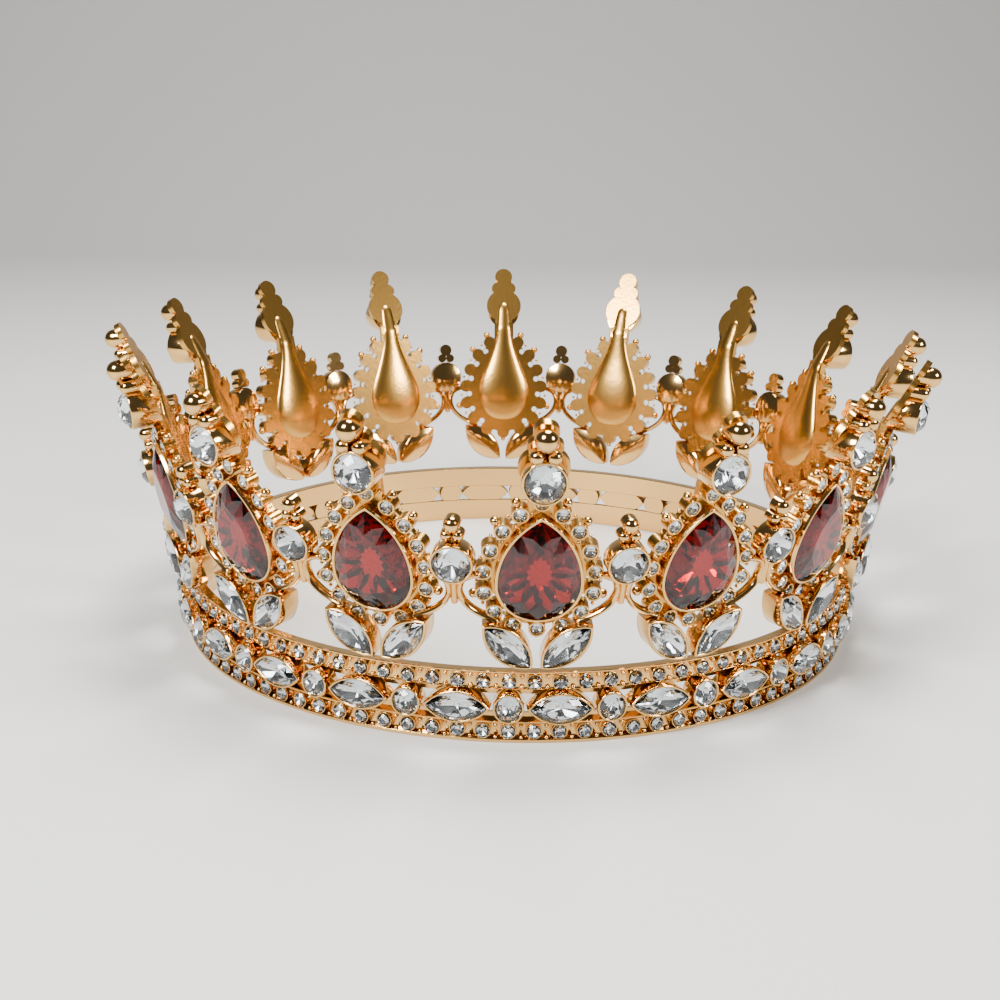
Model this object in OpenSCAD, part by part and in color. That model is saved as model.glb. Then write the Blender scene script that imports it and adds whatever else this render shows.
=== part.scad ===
// Full-round crown: sixteen stone-set points on a two-rail band, with a link between each pair.
// Millimetres, +Z up. The origin is the centre of the band on the plane that the crown stands on.
// The point named point_01 faces -Y, and the numbers rise towards +X.

/* [Band] */
// Distance from one rail stone to the next, round the band
stone_pitch = 4.2; // [4.15:0.05:4.4]
// Height of the lower rail
lower_rail_h = 3.65; // [3.55:0.05:3.8]
// Height of the row of cups between the two rails
cup_row_h = 5.6; // [5.4:0.05:5.8]
// Height of the upper rail
upper_rail_h = 3.15; // [3.1:0.05:3.3]
// Thickness of both rails, measured along the radius
rail_t = 1.9; // [1.7:0.05:2.2]
// Diameter of the stones set in the rails
rail_stone_d = 2.5; // [2.3:0.05:2.55]
// Length of the leaf-shaped stones in the band and under the points
navette_l = 10; // [9.6:0.1:10.2]
// Width of the leaf-shaped stones
navette_w = 4.7; // [4.4:0.1:4.8]
// Diameter of the round stones in the band
band_round_d = 4.3; // [4:0.1:4.4]

/* [Points] */
// Width of the pear-shaped drop stone
drop_w = 13; // [12.6:0.1:13.2]
// Height of the pear-shaped drop stone
drop_h = 18; // [17.6:0.1:18.2]
// Distance up the point from the band's top edge to the middle of the drop stone
drop_rise = 20; // [19.6:0.1:20.6]
// Diameter of the small stones round the drop stone
halo_stone_d = 2.2; // [2:0.05:2.3]
// Diameter of the round stone in the crest
crest_stone_d = 6.2; // [6:0.1:6.5]
// Diameter of the ball on the tip
tip_ball_d = 3.7; // [3.4:0.1:4]
// Lean of the leaf cups, outwards from upright
leaf_lean = 7; // [5:0.5:9]
// Lean of the plate behind the drop stone
drop_lean = 13.5; // [12:0.5:15]
// Lean of the crest
crest_lean = 29; // [27:0.5:31]

/* [Links] */
// Diameter of the round stone in each link
link_stone_d = 6.1; // [5.8:0.1:6.2]
// Width of the scroll wires
scroll_w = 0.95; // [0.8:0.05:1.1]

/* [Hidden] */
// Which node to build
points = 16;
stones_per_point = 6;
rail_stones = points * stones_per_point;
cup_pairs = rail_stones / 4;
point_pitch = 360 / points;
stone_step = 360 / rail_stones;
band_r = rail_stones * stone_pitch / (2 * PI);
band_top = lower_rail_h + cup_row_h + upper_rail_h;
cup_row_z = lower_rail_h + cup_row_h / 2;

// Walls and plates
plate_t = 1.1;
cup_wall = 0.5;
sink = 0.3;
lip_h = 0.65;
lip_reach = 0.35;
seat_depth = 1.2;
upper_lip_h = 0.2;
rail_stone_up = 0.3;
rail_stone_h = seat_depth + rail_stone_up;
lower_stone_z = lip_h + rail_stone_d / 2 + 0.05;
upper_stone_z = band_top - upper_rail_h + upper_lip_h + rail_stone_d / 2;

// Cups between the rails: floor radius, and height from the floor to the rim
band_cup_floor = band_r - rail_t + 0.1;
band_cup_h = 3.5;

// Heights of the rims above the inner face of each plate
drop_rim = 2.6;
halo_rim = 2.3;
crest_rim = 5;
link_rim = 3.4;
leaf_rim = 3.2;

// Outline of the drop stone: a round bottom, and two flanks that are arcs and meet at the tip
drop_r = drop_w / 2;
drop_low = drop_r - drop_h / 2;
drop_tip = drop_h / 2;
flank_in = (pow(drop_tip - drop_low, 2) - drop_r * drop_r) / (2 * drop_r);
flank_r = drop_r + flank_in;

// Where the three leaning parts of a point meet, up the point from the drop stone's middle
leaf_end = -12;
crest_start = 13;
leaf_run = drop_rise + leaf_end;
drop_run = crest_start - leaf_end;
root_r = band_r - 0.4;
drop_in = 1.3;
leaf_end_r = root_r + leaf_run * sin(leaf_lean);
leaf_end_z = band_top + leaf_run * cos(leaf_lean);
drop_start_r = leaf_end_r - drop_in;
crest_start_r = drop_start_r + drop_run * sin(drop_lean);
crest_start_z = leaf_end_z + drop_run * cos(drop_lean);

// Parts of the crest, up the point from the drop stone's middle
crest_y = 18.5;
crest_cup_d = crest_stone_d + 2 * cup_wall + 0.2;
bead_row_y = 22.8;
tip_ball_y = 25.7;
bead_d = 1.5;
neck_w = 4.4;

// Halo of small round cups: their number, and how far each stands off the drop stone's edge
halo_count = 16;
halo_cup_d = halo_stone_d + 2 * 0.3;
halo_gap = 2.4;
halo_hole_d = 1.2;

// Leaf cups: middle, and turn from level
leaf_x = 4.75;
leaf_y = -14.1;
leaf_turn = 43;
leaf_root = 0.9;

// Links stand on the flats' corners, so a little further out than the points
link_out = 1.6;
link_cup_y = 1.3;
link_bead_up = 4.4;
link_ball_up = 6.3;
link_ball_d = 2.7;
link_cup_d = link_stone_d + 2 * cup_wall;
scroll_r = 3.9;
scroll_x = 4.9;
scroll_y = -4.3;
scroll_t = 1.9;

function two(i) = i < 10 ? str("0", i) : str(i);

gold = "#d9b06a";
satin_gold = "#caa05a";
crystal = "#cfd6d6";
red_glass = "#b5121f";

// The point of a pear outline that lies d outside the drop stone, at fraction f of its right-hand
// side from the bottom (0) to the tip (1): a quarter circle, then the flank's arc
function flank_turn(d) = acos(flank_in / (flank_r + d));
function quarter(d) = (drop_r + d) * 90;
function flank(d) = (flank_r + d) * flank_turn(d);
function pear_at(f, d) =
    let (s = f * (quarter(d) + flank(d)), low = s / (drop_r + d) - 90)
    let (high = (s - quarter(d)) / (flank_r + d))
    s <= quarter(d)
        ? [(drop_r + d) * cos(low), drop_low + (drop_r + d) * sin(low)]
        : [(flank_r + d) * cos(high) - flank_in, drop_low + (flank_r + d) * sin(high)];

// Middles of the halo cups, evenly spread on both sides, with one at the bottom and one at the tip
halo_half = halo_count / 2;
halo_side = [for (i = [1:halo_half - 1]) pear_at(i / halo_half, halo_gap)];
halo = concat(
    [pear_at(0, halo_gap), pear_at(1, halo_gap)],
    halo_side,
    [for (p = halo_side) [-p[0], p[1]]]
);

// ---- Frames ----

// Puts children that are drawn flat (x across, y up, z outwards) on a plate that leans out by lean
module on_plate(r, z, lean) {
    translate([0, -r, z]) rotate([90 + lean, 0, 0]) children();
}

module on_leaf_plate() {
    on_plate(leaf_end_r, leaf_end_z, leaf_lean) translate([0, -leaf_end, 0]) children();
}

module on_drop_plate(out = 0) {
    on_plate(drop_start_r + out, leaf_end_z, drop_lean) translate([0, -leaf_end, 0]) children();
}

module on_crest_plate() {
    on_plate(crest_start_r, crest_start_z, crest_lean) translate([0, -crest_start, 0]) children();
}

// Places children at a point (whole k) or at a link (half k) round the crown
module at_point(k) {
    rotate([0, 0, k * point_pitch]) children();
}

// Places children on the band's face at rail stone i and height z, drawn flat with z outwards
module on_band(i, r, z) {
    rotate([0, 0, i * stone_step]) translate([0, -r, z]) rotate([90, 0, 0]) children();
}

// ---- Outlines ----

module pear(d = 0) {
    $fn = 40;
    translate([0, drop_low]) circle(r = drop_r + d);
    intersection() {
        translate([-flank_in, drop_low]) circle(r = flank_r + d);
        translate([flank_in, drop_low]) circle(r = flank_r + d);
        translate([-drop_w, drop_low]) square([2 * drop_w, 2 * drop_h]);
    }
}

module navette(l, w) {
    $fn = 56;
    r = (l * l + w * w) / (4 * w);
    intersection() {
        translate([0, r - w / 2]) circle(r = r);
        translate([0, w / 2 - r]) circle(r = r);
    }
}

module both_sides() {
    children();
    mirror([1, 0, 0]) children();
}

// ---- Stones ----

// Round cut stone of diameter d: its girdle lies at z = 0, the pavilion below and the crown above
module round_stone(d, crown, pavilion) {
    $fn = 32;
    translate([0, 0, -pavilion]) cylinder(d1 = d * 0.3, d2 = d, h = pavilion);
    cylinder(d1 = d, d2 = d * 0.6, h = crown);
}

// The smallest stones: the pavilion with a flat top
module small_stone(d, pavilion) {
    translate([0, 0, -pavilion]) cylinder(d1 = d * 0.5, d2 = d, h = pavilion, $fn = 32);
}

// Flat-cut stone of any outline: a girdle slab and a smaller table slab above it
module stepped_stone(girdle_h, table_h) {
    linear_extrude(girdle_h) children(0);
    translate([0, 0, girdle_h]) linear_extrude(table_h) children(1);
}

// ---- Settings ----

// Open cup with a solid floor, for a stone of any outline: outer outline first, then the recess
module cup(h, floor_h) {
    difference() {
        linear_extrude(h) children(0);
        translate([0, 0, floor_h]) linear_extrude(h) children(1);
    }
}

module navette_cup(h) {
    cup(h, h - 2.2) {
        navette(navette_l + 2 * cup_wall + 0.2, navette_w + 2 * cup_wall - 0.1);
        navette(navette_l, navette_w);
    }
}

module round_cup(d_out, d_in, h, depth) {
    $fn = 48;
    difference() {
        cylinder(d = d_out, h = h);
        translate([0, 0, h - depth]) cylinder(d = d_in, h = depth + 1);
    }
}

// ---- Band ----

// Rail with a channel for its stones; h is its height, low and high are the channel's edges
module rail(h, low, high, foot) {
    $fn = 192;
    rotate_extrude() polygon([
        [band_r - rail_t, 0],
        [band_r + foot, 0],
        [band_r + foot, low],
        [band_r - seat_depth, low],
        [band_r - seat_depth, high],
        [band_r, high],
        [band_r, h],
        [band_r - rail_t, h]
    ]);
}

module lower_rail() {
    color(gold) rail(lower_rail_h, lip_h, lip_h + rail_stone_d + 0.1, lip_reach);
}

module upper_rail() {
    color(gold) translate([0, 0, band_top - upper_rail_h])
        rail(upper_rail_h, upper_lip_h - 0.05, upper_lip_h + rail_stone_d + 0.05, 0);
}

module band_navette_cups() {
    color(gold) for (i = [0:cup_pairs - 1])
        on_band(4 * i + 1, band_cup_floor, cup_row_z) navette_cup(band_cup_h);
}

module band_round_cups() {
    color(gold) for (i = [0:cup_pairs - 1])
        on_band(4 * i + 3, band_cup_floor, cup_row_z)
            round_cup(band_round_d + 2 * cup_wall - 0.1, band_round_d, band_cup_h, 2.2);
}

// ---- Points ----

// Pierced plate under the halo, with a hole between each pair of halo cups and the bezel
module halo_plate() {
    $fn = 16;
    difference() {
        union() {
            pear(halo_gap - 0.2);
            for (p = halo) translate(p) circle(d = halo_cup_d);
            translate([-neck_w / 2, 8]) square([neck_w, 6.2]);
        }
        both_sides() for (i = [1:halo_half - 2])
            translate(pear_at((i + 0.5) / halo_half, halo_gap - 0.85)) circle(d = halo_hole_d);
    }
}

module halo_walls() {
    $fn = 16;
    difference() {
        for (p = halo) translate(p) circle(d = halo_cup_d);
        for (p = halo) translate(p) circle(d = halo_stone_d);
        pear(0.4);
    }
}

module bezel() {
    difference() {
        pear(0.55);
        pear(0.05);
    }
}

module crest_plate() {
    $fn = 32;
    translate([0, crest_y]) circle(d = crest_cup_d + 0.6);
    translate([-neck_w / 2 + 0.3, crest_start - 1]) square([neck_w - 0.6, 12]);
    both_sides() translate([1.3, bead_row_y]) circle(d = 3);
    translate([0, tip_ball_y]) circle(d = tip_ball_d + 0.3);
}

module crest() {
    linear_extrude(plate_t) crest_plate();
    translate([0, crest_y, sink]) round_cup(crest_cup_d, crest_stone_d, crest_rim - sink, 2.6);
    translate([0, tip_ball_y, sink]) cylinder(d = tip_ball_d - 0.7, h = 2, $fn = 32);
    translate([0, tip_ball_y, 2.3]) sphere(d = tip_ball_d, $fn = 32);
    both_sides() translate([1.3, bead_row_y, sink]) cylinder(d = 2.3, h = 3, $fn = 32);
}

// Balls on the outer edge of the halo, each fused to the cup beside it
module outward_balls() {
    both_sides() for (i = [3, halo_half - 2, halo_half - 1])
        translate(concat(pear_at(i / halo_half, halo_gap + halo_cup_d / 2 + bead_d / 4), 1))
            sphere(d = bead_d, $fn = 24);
}

module point() {
    color(gold) {
        on_drop_plate() {
            linear_extrude(plate_t) halo_plate();
            translate([0, 0, sink]) linear_extrude(halo_rim - sink) halo_walls();
            translate([0, 0, sink]) linear_extrude(drop_rim - sink) bezel();
            outward_balls();
        }
        on_crest_plate() crest();
    }
}

// ---- Leaf cups: two under each point ----

module on_leaf() {
    on_leaf_plate() both_sides() translate([leaf_x, leaf_y, 0]) rotate([0, 0, leaf_turn]) children();
}

module leaf_cups() {
    color(gold) for (k = [0:points - 1]) at_point(k) on_leaf()
        translate([0, 0, -leaf_root]) navette_cup(leaf_rim + leaf_root);
}

// ---- Links ----

module scroll_arc() {
    $fn = 48;
    difference() {
        circle(r = scroll_r + scroll_w / 2);
        circle(r = scroll_r - scroll_w / 2);
        translate([0.4, -scroll_r - 0.4]) square([3 * scroll_r, 3 * scroll_r]);
        translate([2.4, -3 * scroll_r]) square([3 * scroll_r, 3 * scroll_r]);
    }
}

module link_outline() {
    $fn = 32;
    translate([0, link_cup_y]) circle(d = link_cup_d);
    both_sides() translate([scroll_x, scroll_y]) scroll_arc();
    translate([-1.2, -6.2]) square([2.4, 6.2]);
    both_sides() translate([0.9, link_cup_y + link_bead_up]) circle(d = 1.9);
    translate([-0.9, link_cup_y]) square([1.8, link_ball_up]);
}

module link() {
    color(satin_gold) on_drop_plate(link_out) {
        linear_extrude(scroll_t) link_outline();
        translate([0, link_cup_y, sink]) round_cup(link_cup_d - 0.1, link_stone_d, link_rim - sink, 2);
        translate([0, link_cup_y + link_ball_up, link_ball_d / 2]) sphere(d = link_ball_d, $fn = 32);
    }
}

// ---- Stones in place ----

module drop_stone() {
    color(red_glass) on_drop_plate() translate([0, 0, plate_t]) stepped_stone(2.1, 1.3) {
        pear(0);
        pear(-2);
    }
}

module crest_stones() {
    color(crystal) for (k = [0:points - 1]) at_point(k)
        on_crest_plate() translate([0, crest_y, crest_rim]) round_stone(crest_stone_d - 0.1, 2.2, 2.4);
}

module link_stones() {
    color(crystal) for (k = [0:points - 1]) at_point(k + 0.5)
        on_drop_plate(link_out) translate([0, link_cup_y, link_rim])
            round_stone(link_stone_d - 0.1, 1.2, 1.9);
}

module navette_stone() {
    stepped_stone(1.9, 0.9) {
        navette(navette_l - 0.1, navette_w - 0.1);
        navette(navette_l - 3, navette_w - 1.4);
    }
}

module leaf_stones() {
    color(crystal) for (k = [0:points - 1]) at_point(k) on_leaf()
        translate([0, 0, leaf_rim - 2.2]) navette_stone();
}

module band_stones() {
    color(crystal) for (i = [0:cup_pairs - 1]) {
        on_band(4 * i + 1, band_cup_floor + band_cup_h - 2.2, cup_row_z) navette_stone();
        on_band(4 * i + 3, band_cup_floor + band_cup_h, cup_row_z)
            round_stone(band_round_d - 0.1, 0.9, 2);
    }
}

module rail_stones() {
    color(crystal) for (i = [0:rail_stones - 1]) {
        on_band(i, band_r + rail_stone_up, lower_stone_z) small_stone(rail_stone_d, rail_stone_h);
        on_band(i, band_r + rail_stone_up, upper_stone_z) small_stone(rail_stone_d, rail_stone_h);
    }
}

module halo_stones() {
    color(crystal) for (k = [0:points - 1]) at_point(k) on_drop_plate() for (p = halo)
        translate([p[0], p[1], halo_rim + 0.2]) small_stone(halo_stone_d - 0.1, halo_rim + 0.2 - plate_t);
}

// ---- Assembly ----

lower_rail();
upper_rail();
band_navette_cups();
band_round_cups();
leaf_cups();
for (k = [0:points - 1]) {
    at_point(k) point();
    at_point(k + 0.5) link();
    at_point(k) drop_stone();
}
crest_stones();
link_stones();
leaf_stones();
band_stones();
rail_stones();
halo_stones();
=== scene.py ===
"""Look of the full-round crown: cut stones, settings, scrolls, backs, finishes, light and camera.

Sizes are in millimetres until a mesh is made, and every placement comes from the same few plates
and radii that the CAD uses.
"""

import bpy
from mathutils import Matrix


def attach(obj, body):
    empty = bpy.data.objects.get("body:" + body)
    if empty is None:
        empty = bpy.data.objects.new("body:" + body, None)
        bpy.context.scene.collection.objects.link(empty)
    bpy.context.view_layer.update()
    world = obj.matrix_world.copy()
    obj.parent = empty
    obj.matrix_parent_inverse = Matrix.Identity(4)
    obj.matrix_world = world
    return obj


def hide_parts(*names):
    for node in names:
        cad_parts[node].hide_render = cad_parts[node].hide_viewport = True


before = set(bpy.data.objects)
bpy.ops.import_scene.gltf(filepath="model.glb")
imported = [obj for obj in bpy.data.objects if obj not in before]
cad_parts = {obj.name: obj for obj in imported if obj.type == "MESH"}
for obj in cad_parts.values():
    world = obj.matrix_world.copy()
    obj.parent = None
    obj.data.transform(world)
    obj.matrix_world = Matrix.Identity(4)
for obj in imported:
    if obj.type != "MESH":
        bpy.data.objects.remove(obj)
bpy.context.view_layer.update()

import logging
import math
from collections.abc import Sequence
from dataclasses import dataclass, field
from enum import Enum

import bmesh
import bpy
import numpy as np
from mathutils import Matrix, Vector

LOG = logging.getLogger("crown")
MM = 0.001
TAU = 2.0 * math.pi


# ---------------------------------------------------------------------------------------------
# Driving sizes, in millimetres
# ---------------------------------------------------------------------------------------------

POINTS = 16
STONES_PER_POINT = 6
RAIL_STONES = POINTS * STONES_PER_POINT
STONE_PITCH = 4.2
BAND_R = RAIL_STONES * STONE_PITCH / TAU
RAIL_T = 1.9
LOWER_H = 3.65
ROW_H = 5.6
UPPER_H = 3.15
BAND_TOP = LOWER_H + ROW_H + UPPER_H
ROW_Z = LOWER_H + ROW_H / 2
SEAT = 1.2
LIP_H = 0.65
LIP_REACH = 0.35
UPPER_LIP = 0.2
RAIL_STONE_D = 2.5
STONE_GAP = 0.05
LOWER_STONE_Z = LIP_H + RAIL_STONE_D / 2 + STONE_GAP
UPPER_STONE_Z = BAND_TOP - UPPER_H + UPPER_LIP + RAIL_STONE_D / 2
CUP_FLOOR_R = BAND_R - RAIL_T + 0.1
PLATE_FOOT_R = BAND_R - 0.4

DROP_W = 13.0
DROP_H = 18.0
DROP_RISE = 20.0
LEAF_END = -12.0
CREST_START = 13.0
LEAF_LEAN = 7.0
DROP_LEAN = 13.5
CREST_LEAN = 29.0
DROP_IN = 1.3
HALO_GAP = 2.4
HALO_COUNT = 16
HALO_D = 2.2
PLATE_T = 1.1
BALL_D = 3.7
CREST_D = 6.2
LEAF_X = 4.75
LEAF_Y = -14.1
LEAF_TURN = 43.0
LINK_OUT = 1.6
LINK_Y = 1.3
LINK_D = 6.1

# Steps that round a ball, a pin's dome, a wire's end and a cup's rim
BALL_SEGMENTS = 24
BALL_ROWS = 13
DOME_STEPS = 8
TIP_STEPS = 6
LIP_STEPS = 7

# Points nearer than this many decimals of a millimetre are one point
SAME_POINT = 5


# ---------------------------------------------------------------------------------------------
# Surfaces
# ---------------------------------------------------------------------------------------------


@dataclass
class Skin:
    """One or more closed surfaces: points in millimetres, faces by corner count, a finish a face.

    Attributes:
        points: (n, 3) array.
        faces: list of (m, k) index arrays, one for each corner count.
        slots: list of (m,) arrays, the finish of each face.
    """

    points: np.ndarray
    faces: list[np.ndarray]
    slots: list[np.ndarray]

    def copies(self, places: np.ndarray) -> "Skin":
        """The same surface at each placement.

        Args:
            places: (c, 4, 4) matrices.

        Returns:
            One skin that holds every copy.
        """
        count, size = len(places), len(self.points)
        spots = np.einsum("cij,nj->cni", places[:, :3, :3], self.points) + places[:, None, :3, 3]
        steps = (np.arange(count) * size)[:, None, None]
        faces = [(f[None] + steps).reshape(-1, f.shape[1]) for f in self.faces]
        slots = [np.tile(s, count) for s in self.slots]
        return Skin(spots.reshape(-1, 3), faces, slots)


def joined(skins: list[Skin]) -> Skin:
    """Several skins as one, with their points renumbered.

    Args:
        skins: the skins to join.

    Returns:
        One skin.
    """
    points, faces, slots, start = [], [], [], 0
    for skin in skins:
        points.append(skin.points)
        faces += [f + start for f in skin.faces]
        slots += skin.slots
        start += len(skin.points)
    return Skin(np.concatenate(points), faces, slots)


def grid_skin(points: np.ndarray, wrap_rows: bool = False, slot: int = 0) -> Skin:
    """A skin over a grid of points whose columns go once round.

    Face (i, j) joins rows i and i + 1 at columns j and j + 1. Points that coincide, as at a pole,
    are merged, so a four-sided face there becomes a triangle.

    Args:
        points: (rows, columns, 3) array.
        wrap_rows: joins the last row to the first too, as on a ring.
        slot: the finish of every face.

    Returns:
        The closed skin.
    """
    rows, cols = points.shape[:2]
    i = np.arange(rows if wrap_rows else rows - 1)[:, None]
    j = np.arange(cols)[None, :]
    i2, j2 = (i + 1) % rows, (j + 1) % cols
    corners = [i * cols + j, i * cols + j2, i2 * cols + j2, i2 * cols + j]
    quads = np.stack(corners, -1).reshape(-1, 4)
    flat = points.reshape(-1, 3)
    near = np.round(flat, SAME_POINT)
    _, first, same = np.unique(near, axis=0, return_index=True, return_inverse=True)
    quads = same.reshape(-1)[quads]
    equal = quads == np.roll(quads, -1, axis=1)
    whole = quads[equal.sum(1) == 0]
    pinched = equal.sum(1) == 1
    corner = np.argmax(equal[pinched], axis=1)
    keep = (corner[:, None] + np.array([1, 2, 3])) % 4
    tris = np.take_along_axis(quads[pinched], keep, axis=1)
    return Skin(flat[first], [whole, tris], [np.full(len(f), slot) for f in (whole, tris)])


def revolved(profile: np.ndarray, segments: int, ring: bool = False) -> Skin:
    """A profile turned about z: (r, z) goes to (r cos a, r sin a, z) for a over one turn.

    Args:
        profile: (n, 2) radii and heights, from the bottom round the outside to the top.
        segments: steps round the turn.
        ring: the profile is a closed loop that stays clear of the axis.

    Returns:
        The closed skin.
    """
    a = np.arange(segments) * TAU / segments
    r, z = profile[:, :1], profile[:, 1:]
    points = np.stack([r * np.cos(a), r * np.sin(a), z + 0 * a], -1)
    return grid_skin(points, ring)


def ball(d: float, stretch: float = 1.0, segments: int = BALL_SEGMENTS, rows: int = BALL_ROWS) -> Skin:
    """A ball: (d/2 sin t, -d/2 cos t) turned about z, for t over half a turn.

    Args:
        d: its diameter.
        stretch: its height over its diameter.
        segments: steps round it.
        rows: levels from pole to pole.

    Returns:
        The closed skin.
    """
    t = np.linspace(0, math.pi, rows)
    return revolved(np.stack([d / 2 * np.sin(t), -d / 2 * stretch * np.cos(t)], 1), segments)


def pill(d: float, depth: float, segments: int = 28) -> Skin:
    """A pin of diameter d and length depth with a domed front, standing on z = 0."""
    t = np.linspace(0, math.pi / 2, DOME_STEPS)
    dome = np.stack([d / 2 * np.cos(t), depth - d / 2 + d / 2 * np.sin(t)], 1)
    return revolved(np.concatenate([[[0, 0], [d / 2, 0]], dome]), segments)


def seated(skin: Skin, degrees: float, below: float = 0.3) -> Skin:
    """A setting whose foot is cut to a plate that leans so many degrees more than it does.

    The points lower than below are lifted by y times the slope, which tilts the foot alone.

    Args:
        skin: the setting, standing on z = 0.
        degrees: the plate's lean less the setting's own.
        below: height that the foot reaches to.

    Returns:
        The closed skin.
    """
    slope = math.tan(math.radians(degrees))
    lift = np.where(skin.points[:, 2] < below, skin.points[:, 1] * slope, 0.0)
    return Skin(skin.points + lift[:, None] * [0, 0, 1.0], skin.faces, skin.slots)


def smooth_path(knots: Sequence[tuple[float, ...]], per_span: int) -> np.ndarray:
    """A curve through knots: on each span the cubic whose end slopes are half the neighbours' gap.

    Args:
        knots: the points it goes through.
        per_span: steps between two knots.

    Returns:
        (n, dimensions) array.
    """
    k = np.array(knots, float)
    ends = np.concatenate([[2 * k[0] - k[1]], k, [2 * k[-1] - k[-2]]])
    p0, p1, p2, p3 = ends[:-3], ends[1:-2], ends[2:-1], ends[3:]
    t = (np.arange(per_span) / per_span)[None, :, None]
    p0, p1, p2, p3 = (p[:, None, :] for p in (p0, p1, p2, p3))
    curve = 0.5 * (2 * p1 + (p2 - p0) * t + (2 * p0 - 5 * p1 + 4 * p2 - p3) * t**2
                   + (3 * p1 - p0 - 3 * p2 + p3) * t**3)
    return np.concatenate([curve.reshape(-1, k.shape[1]), k[-1:]])


def wire(path: np.ndarray, width: float, depth: float, sides: int = 14) -> Skin:
    """A flat-lying wire along a path in the plate's plane, its ends rounded off.

    The section at each step is the ellipse (width/2 cos a) across and (depth/2 sin a) up. It
    shrinks over the first and last half width as a quarter circle does, to a point.

    Args:
        path: (n, 3) centre line.
        width: across the plate.
        depth: out of the plate.
        sides: points round the section.

    Returns:
        The closed skin.
    """
    along = np.gradient(path, axis=0)
    along /= np.linalg.norm(along, axis=1, keepdims=True)
    t = np.linspace(0, math.pi / 2, TIP_STEPS)
    extra = TIP_STEPS - 1
    tip = width / 2 * np.sin(t)[::-1]
    start = path[0] - along[0] * tip[:-1, None]
    end = path[-1] + along[-1] * tip[::-1][1:, None]
    line = np.concatenate([start, path, end])
    aim = np.concatenate([np.repeat(along[:1], extra, 0), along, np.repeat(along[-1:], extra, 0)])
    size = np.concatenate([np.cos(t)[::-1][:-1], np.ones(len(path)), np.cos(t)[1:]])
    size[[0, -1]] = 0
    across = np.cross(aim, [0, 0, 1.0])
    a = np.arange(sides) * TAU / sides
    sideways = (width / 2 * np.cos(a))[None, :, None] * across[:, None]
    upward = (depth / 2 * np.sin(a))[None, :, None] * np.array([0, 0, 1.0])
    return grid_skin(line[:, None] - size[:, None, None] * (sideways - upward))


# ---------------------------------------------------------------------------------------------
# Outlines: each gives (n, 2) points that lie d outside the stone's edge, anticlockwise
# ---------------------------------------------------------------------------------------------


@dataclass(frozen=True)
class Pear:
    """A drop outline: a half circle below, and two arcs that meet at the tip."""

    w: float = DROP_W
    h: float = DROP_H

    def side(self, f: np.ndarray, d: float) -> np.ndarray:
        """Points at fractions f up the right-hand side, d outside the edge.

        Up to the widest place it is the quarter circle of radius w/2 + d. Above, it is the arc of
        radius (w/2 + c) + d about a centre that lies c beyond the axis, until x is nought.

        Args:
            f: fractions from the bottom (0) to the tip (1).
            d: distance outside the stone's edge.

        Returns:
            (n, 2) points.
        """
        r, low, top = self.w / 2, self.w / 2 - self.h / 2, self.h / 2
        c = ((top - low) ** 2 - r * r) / (2 * r)
        big = r + c + d
        quarter, flank = (r + d) * math.pi / 2, big * math.acos(c / big)
        s = np.asarray(f, float) * (quarter + flank)
        a = s / (r + d) - math.pi / 2
        b = (s - quarter) / big
        x = np.where(s <= quarter, (r + d) * np.cos(a), big * np.cos(b) - c)
        y = np.where(s <= quarter, low + (r + d) * np.sin(a), low + big * np.sin(b))
        return np.stack([np.maximum(x, 0), y], -1)

    def ring(self, count: int, d: float) -> np.ndarray:
        """count points evenly round the outline, from the bottom, anticlockwise."""
        half = count // 2
        right = self.side(np.arange(half + 1) / half, d)
        left = right[1:-1][::-1] * [-1, 1]
        return np.concatenate([right, left])


@dataclass(frozen=True)
class Navette:
    """A leaf outline: two equal arcs that meet in points at its left and right."""

    l: float = 10.0
    w: float = 4.7

    def ring(self, count: int, d: float) -> np.ndarray:
        """count points evenly round the outline, from the right-hand tip, anticlockwise.

        Each side is the arc of radius (l^2 + w^2) / 4w + d between the places where it meets the
        long axis.
        """
        base = (self.l**2 + self.w**2) / (4 * self.w)
        drop, r = base - self.w / 2, base + d
        reach = math.acos(drop / r)
        half = count // 2
        a = math.pi / 2 - reach + 2 * reach * np.arange(half) / half
        upper = np.stack([r * np.cos(a), r * np.sin(a) - drop], -1)
        return np.concatenate([upper, -upper])


@dataclass(frozen=True)
class Round:
    """A circular outline."""

    d: float

    def ring(self, count: int, d: float) -> np.ndarray:
        """count points evenly round the circle of radius d/2 + offset."""
        a = np.arange(count) * TAU / count
        return (self.d / 2 + d) * np.stack([np.cos(a), np.sin(a)], -1)


Outline = Pear | Navette | Round


def lofted(
    outline: Outline, rows: Sequence[tuple[float, float, float]], count: int, ring: bool = False
) -> Skin:
    """A surface whose level curves are the outline, grown and lifted row by row.

    Row (s, d, z) is s times the outline that lies d outside the edge, at height z. A row with s
    of nought is a pole.

    Args:
        outline: the outline.
        rows: (s, d, z) for each row, going up the outside and down the inside.
        count: points round the outline.
        ring: the last row joins the first.

    Returns:
        The closed skin.
    """
    levels = [np.column_stack([s * outline.ring(count, d), np.full(count, z)]) for s, d, z in rows]
    return grid_skin(np.stack(levels), ring)


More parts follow.
